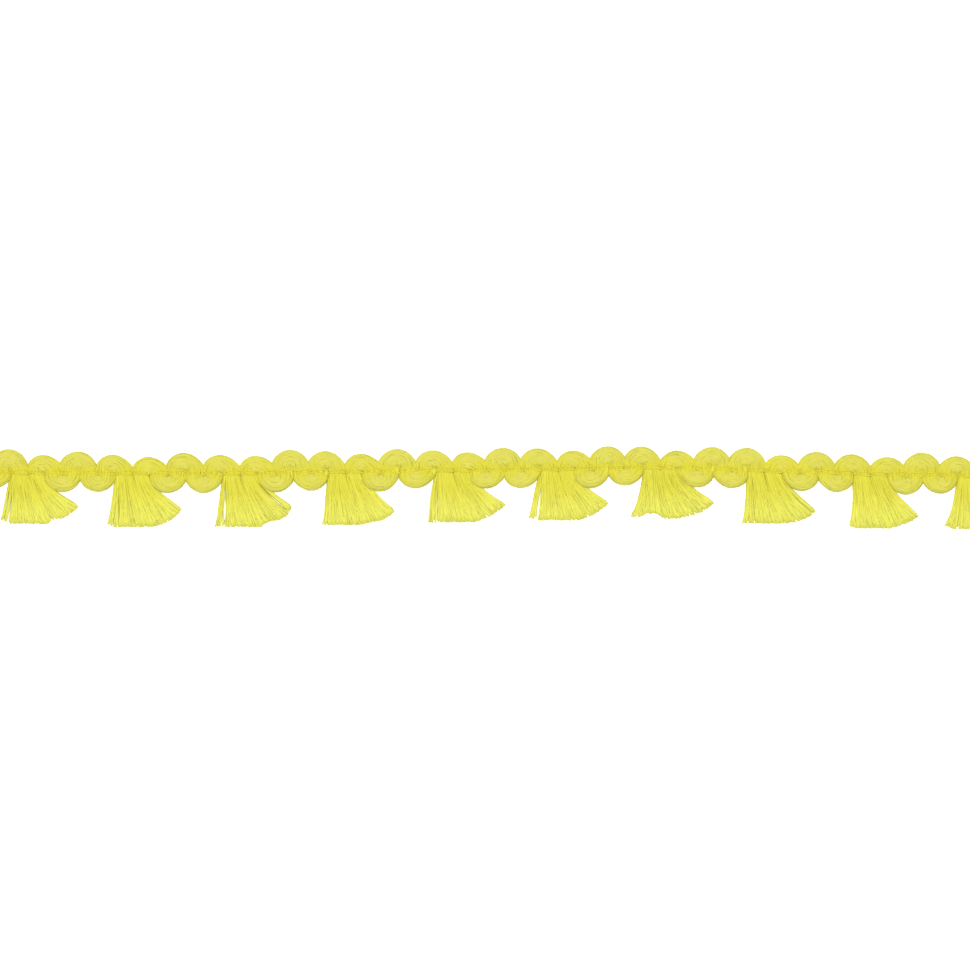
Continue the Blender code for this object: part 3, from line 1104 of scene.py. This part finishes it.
@dataclass
class Tassel:
    """One cut tassel: the threads of the two runs above it, fanned out flat.

    Sizes are in mm. A share is one of a strand's way or of the cut edge. A sway is the size
    and the longest wave of a random drift.
    """

    number: int
    place: TasselPlace
    limbs: Pair  # X of the two runs that it continues
    seed: int = 500  # plus the tassel's number
    rings: int = 12
    length: float = 9.0  # of a typical strand
    limb_half: float = 1.44
    limb_height: float = 1.8
    start_y: Pair = (-0.05, 0.25)  # where strands start, from the row
    under_stitch: float = 0.75  # height at its start, as a share of that in the limb
    emerge: Pair = (0.06, 0.08)  # shares in which a strand rises, and a thread gets full width
    straight_drop: float = 1.7  # how far it would go on straight down
    cut_corner: float = 3.3  # where the straight cut edge starts to curve up to the tip
    tip_height: float = 0.95
    flat_from: float = 0.9  # share from which it is as flat as at the cut edge
    shuffle: float = 0.008  # share by which strands change places on their way
    crowding: float = 0.5  # below 1, more threads lie high than low
    ragged: Pair = (-0.16, 0.1)  # least and most that an end is cut longer
    slit_reach: float = 0.06  # share of the cut edge that a slit pushes aside
    closing: float = 0.7  # share of a slit that closes again at the cut ends
    closes_from: float = 0.7  # share of a strand's way
    flick: float = 0.2  # how far the left edge is drawn in before its ends flick out
    edge_share: float = 0.3  # share of the cut edge that bends with its side
    pales_from: float = 0.35  # share of a strand's way
    sways: tuple[Pair, ...] = ((0.055, 7.0), (0.03, 6.0), (0.05, 5.0))
    lock_radius: Pair = (0.2, 0.33)  # at its start and its end
    thread_radius: float = 0.12
    thread_sway: Pair = (0.12, 2.5)
    fibre_radius: float = 0.04
    fibre_sway: Pair = (0.09, 4.0)
    fibre_lift: float = 0.05

    def cut_edge(self, share: Array) -> Array:
        """Points of the cut edge.

        It runs straight to cut_corner, then up a curve to the right tip: the width times
        the sine of an angle to the power tuck, and the height times its cosine to it.

        Args:
            share: Share of the edge's length from its left end.

        Returns:
            Points by 2, in mm.
        """
        place = self.place
        straight = self.cut_corner - place.left
        wide = place.reach - self.cut_corner
        tall = place.drop - place.tip_drop
        curved = math.pi / 2 * math.sqrt((wide**2 + tall**2) / 2)
        run = share * (straight + curved)
        angle = np.clip((run - straight) / curved, 0.0, 1.0) * math.pi / 2
        bulge = wide * np.sin(angle) ** place.tuck
        x = np.where(run < straight, place.left + run, self.cut_corner + bulge)
        y = -place.tip_drop - tall * np.cos(angle) ** place.tuck
        return np.stack([place.x + x, place.row + y], axis=1)

    def strayed(self, share: Array) -> Array:
        """How far each strand's end stands aside as a stray, in mm: left by the stray gap."""
        return np.where(share < self.place.stray / STRAY_COLUMNS, -self.place.stray_gap, 0.0)

    def parted(self, share: Array) -> Array:
        """How far slits move each strand along the cut edge.

        Strands move away from a slit by half its width, less by a bell curve of their
        distance from it.

        Args:
            share: Each strand's share of the cut edge.

        Returns:
            The distances, in mm.
        """
        moved = np.zeros(share.shape)
        for middle, width in self.place.slits:
            away = share - middle
            moved += np.sign(away) * width / 2 * np.exp(-((away / self.slit_reach) ** 2))
        return moved

    def missing(self, share: Array) -> Array:
        """How much shorter each strand is where the cut edge has a short place.

        It is what is missing in the middle, less by a flat bell curve of the fourth power.

        Args:
            share: Each strand's share of the cut edge.

        Returns:
            The lengths, in mm.
        """
        total = np.zeros(share.shape)
        for middle, half, size in self.place.shorts:
            total += size * np.exp(-(((share - middle) / half) ** 4))
        return total

    def fan(self, rng: Rng, kind: Strands) -> tuple[Array, Array]:
        """Strands from the two limbs to the cut edge.

        Each is a cubic curve in plan: it leaves its place in the limb straight down, and
        comes to its place on the cut edge in the line from the end of straight_drop. Heights
        in the stack go by golden ratios, so that neighbours lie far apart, to the power
        crowding. In a limb they are less to its sides, by the square root of one less the cube
        of how far aside they lie. A strand sinks from its height in the limb to that at the
        edge by a smooth step, and its start is lower, inside the yarn under the stitches.
        Near the left edge it is drawn in by bend times (the share along less its cube), and
        by flick near its end, with the share's fourth power times one less it. Near the right
        edge it is drawn in by sweep, with the square of the share times that of (one less its
        square). A slit opens by a smooth step of the share, and closes by closing of itself
        at the end.

        Args:
            rng: Source of the places.
            kind: Which strands.

        Returns:
            Lines, strands by rings by 3 in mm, and the share along, strands by rings.
        """
        place, number = self.place, kind.count
        order = (np.arange(number) + rng.uniform(0.0, 1.0, number)) / number
        order = kind.margin + (1 - 2 * kind.margin) * order
        share = np.clip(order + rng.normal(0.0, self.shuffle, number), 0.0, 1.0)
        limb = (order > 0.5).astype(int)
        within = np.where(limb == 0, order * 2, order * 2 - 1) * 2 - 1
        golden = (math.sqrt(5.0) - 1.0) / 2.0
        stack = np.arange(number) * golden + rng.uniform(0.0, 0.15, number)
        stack = np.mod(stack, 1.0) ** self.crowding
        up = kind.rise[0] + (kind.rise[1] - kind.rise[0]) * stack
        roof = np.sqrt(np.clip(1 - np.abs(within) ** 3, 0.05, 1.0))
        lowest, highest = self.start_y
        start_y = place.row + highest - (highest - lowest) * rng.uniform(0.0, 1.0, number)
        start = np.stack([np.array(self.limbs)[limb] + within * self.limb_half, start_y], axis=1)
        end = self.cut_edge(share)
        drawn = start - (0.0, self.straight_drop)
        way = unit(end - drawn)
        square = np.stack([-way[:, 1], way[:, 0]], axis=1)
        end = end + square * self.strayed(share)[:, None]
        end = end + way * (rng.uniform(*self.ragged, number) - self.missing(share))[:, None]
        held = end - way * np.linalg.norm(end - drawn, axis=1, keepdims=True) / 2

        first = rng.uniform(0.0, kind.starts_in, (number, 1))
        along = first + (kind.ends_at - first) * np.linspace(0.0, 1.0, self.rings)
        t = along[..., None]
        plan = (
            (1 - t) ** 3 * start[:, None]
            + 3 * (1 - t) ** 2 * t * drawn[:, None]
            + 3 * (1 - t) * t**2 * held[:, None]
            + t**3 * end[:, None]
        )
        low = self.thread_radius
        high = low + up[:, None] * (self.limb_height - 2 * low) * roof[:, None]
        flat = low + up[:, None] * (self.tip_height - 2 * low)
        level = high + (flat - high) * ease(along / self.flat_from)
        level *= self.under_stitch + (1 - self.under_stitch) * ease(along / self.emerge[0])

        closed = self.closing * ease((along - self.closes_from) / (1 - self.closes_from))
        opened = self.parted(share)[:, None] * (ease(along) * (1 - closed))
        plan += square[:, None] * opened[..., None]
        left = np.clip(1 - share / self.edge_share, 0.0, 1.0)[:, None] ** 1.5
        right = np.clip(1 - (1 - share) / self.edge_share, 0.0, 1.0)[:, None] ** 1.5
        # 12.2 and 6.75 bring the peaks of their curves to 1
        plan[..., 0] += place.bend * left * (along - along**3)
        plan[..., 0] += self.flick * left * 12.2 * along**4 * (1 - along)
        plan[..., 0] -= place.sweep * right * 6.75 * along**2 * (1 - along**2) ** 2
        drifts = [sway(rng, along * self.length, *each) * along for each in self.sways]
        plan += np.stack(drifts[:2], axis=2)
        level = np.maximum(level + drifts[2], low)
        return np.concatenate([plan, level[..., None]], axis=2), along

    def paled(self, kind: Strands, along: Array) -> Array:
        """How far strands have turned to the paler shade, which is painted light: more to the cut
        ends, by a smooth step.
        """
        rise = ease((along - self.pales_from) / (1 - self.pales_from))
        return kind.paling[0] + kind.paling[1] * rise

    def build(self, material: Material) -> Piece:
        """Makes the tassel: flat matted locks, threads on them, and fine loose fibres.

        A lock's radius grows evenly along it. A thread's goes from 0.3 of its whole to all of
        it as it leaves the limb, and a fibre's from 0.25 to all in the first 0.3 of the fibre,
        both by a smooth step. A fibre has every other ring of its fan line.

        Args:
            material: The tassel yarn's finish.

        Returns:
            The finished piece.
        """
        rng = np.random.default_rng(self.seed + self.number)
        mesh = YarnMesh()
        kind = MATTED_LOCKS
        lines, along = self.fan(rng, kind)
        radii = self.lock_radius[0] + (self.lock_radius[1] - self.lock_radius[0]) * along
        lines[..., 2] = np.maximum(lines[..., 2], radii * kind.flat)
        tone = rng.uniform(*kind.tones, kind.count)
        mesh.add(Threads(lines, radii, tone, self.paled(kind, along), kind.flat), kind.sides)

        kind = CUT_THREADS
        lines, along = self.fan(rng, kind)
        radii = self.thread_radius * (1 + sway(rng, along * self.length, *self.thread_sway))
        radii *= 0.3 + 0.7 * ease(along / self.emerge[1])
        tone = rng.uniform(*kind.tones, kind.count)
        mesh.add(Threads(lines, radii, tone, self.paled(kind, along), kind.flat), kind.sides)

        kind = LOOSE_FIBRES
        lines, along = self.fan(rng, kind)
        lines[..., 0] += sway(rng, along * self.length, *self.fibre_sway)
        lines[..., 2] += self.fibre_lift
        lines, along = lines[:, ::2], along[:, ::2]
        own = (along - along[:, :1]) / (1 - along[:, :1])
        radii = self.fibre_radius * (0.25 + 0.75 * ease(own / 0.3))
        tone = rng.uniform(*kind.tones, kind.count)
        mesh.add(Threads(lines, radii, tone, self.paled(kind, along), kind.flat), kind.sides)
        node = f"tassel_{self.number:02d}"
        return finish_piece(mesh.make(f"{node}_threads", [material]), node)


@dataclass
class Tassels:
    """All ten tassels."""

    def build(self, material: Material) -> list[Piece]:
        """Makes every tassel between its two runs of yarn.

        Args:
            material: The tassel yarn's finish.

        Returns:
            The finished pieces.
        """
        stretches = Braid().stretches()
        made = []
        for number, place in enumerate(TASSELS, start=1):
            left, right = stretches[number - 1], stretches[number]
            limbs = (place.x - left.spacing / 2, place.x + right.spacing / 2)
            made.append(Tassel(number, place, limbs).build(material))
        return made


# Floor, lights and camera


@dataclass
class Studio:
    """A pale floor, soft light and a camera straight above the trim, in metres."""

    floor_size: float = 4.0
    floor_glow: float = 0.25
    lamp_size: float = 0.35
    lamp_power: float = 15.8
    lamp_place: tuple[float, float, float] = (-0.05, 0.05, 1.3)
    lamp_tilt: float = -2.0  # degrees about X and Y
    surround: float = 0.33
    frame_width: float = 0.16167  # of trim across the picture
    centre_y: float = 0.000333
    mid_height: float = 0.0012  # of the trim
    lens: float = 200.0  # mm
    sensor: float = 36.0  # mm

    def floor(self) -> None:
        """A white paper sweep, lifted a little by its own light so that it prints white."""
        half = self.floor_size / 2
        mesh = bpy.data.meshes.new("floor")
        corners = [(-half, -half, 0), (half, -half, 0), (half, half, 0), (-half, half, 0)]
        mesh.from_pydata(corners, [], [(0, 1, 2, 3)])
        add_object("floor", mesh)
        material = bpy.data.materials.new("white paper sweep")
        material.use_nodes = True
        shader = material.node_tree.nodes["Principled BSDF"]
        shader.inputs["Base Color"].default_value = linear("#F8F8F6")
        shader.inputs["Roughness"].default_value = 0.95
        shader.inputs["Emission Color"].default_value = linear("#FFFFFE")
        shader.inputs["Emission Strength"].default_value = self.floor_glow
        mesh.materials.append(material)

    def light(self) -> None:
        """One wide soft light above the camera, and an even white surround."""
        lamp = bpy.data.lights.new("softbox", "AREA")
        lamp.size = self.lamp_size
        lamp.energy = self.lamp_power
        box = add_object("softbox", lamp)
        box.location = self.lamp_place
        box.rotation_euler = (math.radians(self.lamp_tilt), math.radians(self.lamp_tilt), 0.0)
        world = bpy.data.worlds.new("surround")
        world.use_nodes = True
        background = world.node_tree.nodes["Background"]
        background.inputs["Color"].default_value = (1.0, 1.0, 1.0, 1.0)
        background.inputs["Strength"].default_value = self.surround
        bpy.context.scene.world = world

    def camera(self) -> None:
        """Looks straight down, with the picture's whole width on the trim's middle height."""
        lens = bpy.data.cameras.new("camera")
        lens.lens = self.lens
        lens.sensor_width = self.sensor
        lens.clip_start = 0.05
        lens.clip_end = 20.0
        eye = add_object("camera", lens)
        distance = self.frame_width * self.lens / self.sensor
        eye.location = (0.0, self.centre_y, distance + self.mid_height)
        bpy.context.scene.camera = eye

    def build(self) -> None:
        """Makes the floor, the lights and the camera, and shows colours as they are."""
        self.camera()
        self.floor()
        self.light()
        bpy.context.scene.view_settings.view_transform = "Standard"
        bpy.context.scene.view_settings.look = "None"


def main() -> None:
    """Builds the trim and its studio, and reports each piece."""
    logging.basicConfig(level=logging.INFO, format="%(message)s")
    Studio().build()
    Braid().build([BRAID_FINISH.build(), HEART_FINISH.build()])
    StitchedRow().build(STITCH_FINISH.build())
    tassel_yarn = TASSEL_FINISH.build()
    CaughtEnds().build(tassel_yarn)
    Tassels().build(tassel_yarn)


if __name__ == "__main__":
    main()
